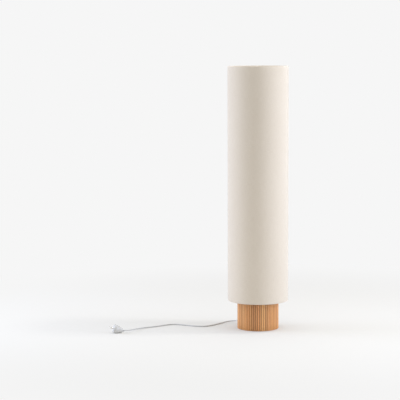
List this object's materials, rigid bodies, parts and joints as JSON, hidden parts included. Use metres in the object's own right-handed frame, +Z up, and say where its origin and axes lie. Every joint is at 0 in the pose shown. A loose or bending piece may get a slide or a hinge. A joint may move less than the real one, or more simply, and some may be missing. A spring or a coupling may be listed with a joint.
{
  "type": "column floor lamp",
  "caption": "Floor lamp: a tall fabric cylinder shade over a round slatted wooden base, with inner pole, lampholders, rear switch, cord and plug.",
  "frame": {"origin": "on the floor under the centre of the base, at the feet's underside", "axes": "+Z up along the pole; -Y is the side seen in the picture; +X is to the viewer's right; the cord leaves at the back left"},
  "size_m": [0.8819, 0.3068, 1.3],
  "materials": {
    "linen": "natural off-white woven linen look, matt, laminated to a stiff liner",
    "liner_film": "white translucent film, matt",
    "slat_wood": "orange-brown light hardwood, matt lacquer, vertical grain",
    "plywood": "light plywood",
    "white_steel": "white powder coat, satin",
    "dark_steel": "black powder coat, matt",
    "zinc": "bright zinc plating",
    "cast_iron": "raw cast iron",
    "foot_rubber": "black rubber",
    "white_plastic": "white moulded plastic, satin",
    "rocker_plastic": "white moulded plastic, semi-gloss",
    "soft_white": "soft white moulded rubber",
    "white_cable": "white smooth cable sheath",
    "plug_plastic": "white moulded plug, satin",
    "nickel": "bright nickel",
    "brass": "bright brass",
    "ceramic": "white glazed ceramic",
    "bulb_glass": "clear thin glass",
    "filament": "yellow phosphor rods on a clear glass stem"
  },
  "bodies": {
    "lamp": {"base_drum": "plywood", "base_slats": "slat_wood", "base_top_disc": "plywood", "bottom_plate": "dark_steel", "bottom_plate_screws": "zinc", "ballast_disc": "cast_iron", "ballast_screws": "zinc", "rubber_feet": "foot_rubber", "pole": "white_steel", "pole_top_stud": "zinc", "pole_flange": "white_steel", "flange_screws": "zinc", "grub_screws": "zinc", "switch_body": "white_plastic", "switch_terminals": "brass", "switch_leads": "white_cable", "cord_gland": "white_plastic", "gland_nut": "white_plastic", "cord_boot": "soft_white", "inner_cord": "white_cable", "cord_clamp": "white_plastic", "clamp_screws": "zinc", "terminal_block": "white_plastic", "terminal_screws": "zinc", "power_cord": "white_cable", "plug_body": "plug_plastic", "plug_face": "plug_plastic", "plug_pins": "nickel", "earth_clips": "nickel", "plug_boot": "soft_white", "lower_arm": "white_steel", "lower_lead": "white_cable", "lower_holder_cap": "white_plastic", "lower_holder_sleeve": "white_plastic", "lower_holder_insert": "ceramic", "lower_screw_shell": "brass", "lower_centre_contact": "brass", "upper_arm": "white_steel", "upper_lead": "white_cable", "upper_holder_cap": "white_plastic", "upper_holder_sleeve": "white_plastic", "upper_holder_insert": "ceramic", "upper_screw_shell": "brass", "upper_centre_contact": "brass"},
    "shade": {"shade_fabric": "linen", "shade_liner": "liner_film", "top_spider": "white_steel", "bottom_ring": "white_steel", "finial_washer": "zinc"},
    "finial": {"finial_nut": "nickel"},
    "lower_bulb": {"lower_bulb_glass": "bulb_glass", "lower_bulb_cap": "nickel", "lower_bulb_filaments": "filament"},
    "upper_bulb": {"upper_bulb_glass": "bulb_glass", "upper_bulb_cap": "nickel", "upper_bulb_filaments": "filament"},
    "rocker": {"switch_rocker": "rocker_plastic"}
  },
  "joints": [
    {"name": "shade_lift", "type": "slide", "parent": "lamp", "child": "shade", "axis": [0, 0, 1], "range_m": [0, 1.14]},
    {"name": "finial_turn", "type": "hinge", "parent": "shade", "child": "finial", "pos_m": [0, 0, 1.268], "axis": [0, 0, 1], "continuous": true},
    {"name": "lower_bulb_turn", "type": "hinge", "parent": "lamp", "child": "lower_bulb", "pos_m": [-0.045, 0, 0.4], "axis": [0, 0, 1], "continuous": true},
    {"name": "upper_bulb_turn", "type": "hinge", "parent": "lamp", "child": "upper_bulb", "pos_m": [0.045, 0, 0.96], "axis": [0, 0, 1], "continuous": true},
    {"name": "rocker_tilt", "type": "hinge", "parent": "lamp", "child": "rocker", "pos_m": [0, 0.1025, 0.088], "axis": [1, 0, 0], "range_deg": [-14, 0]}
  ]
}
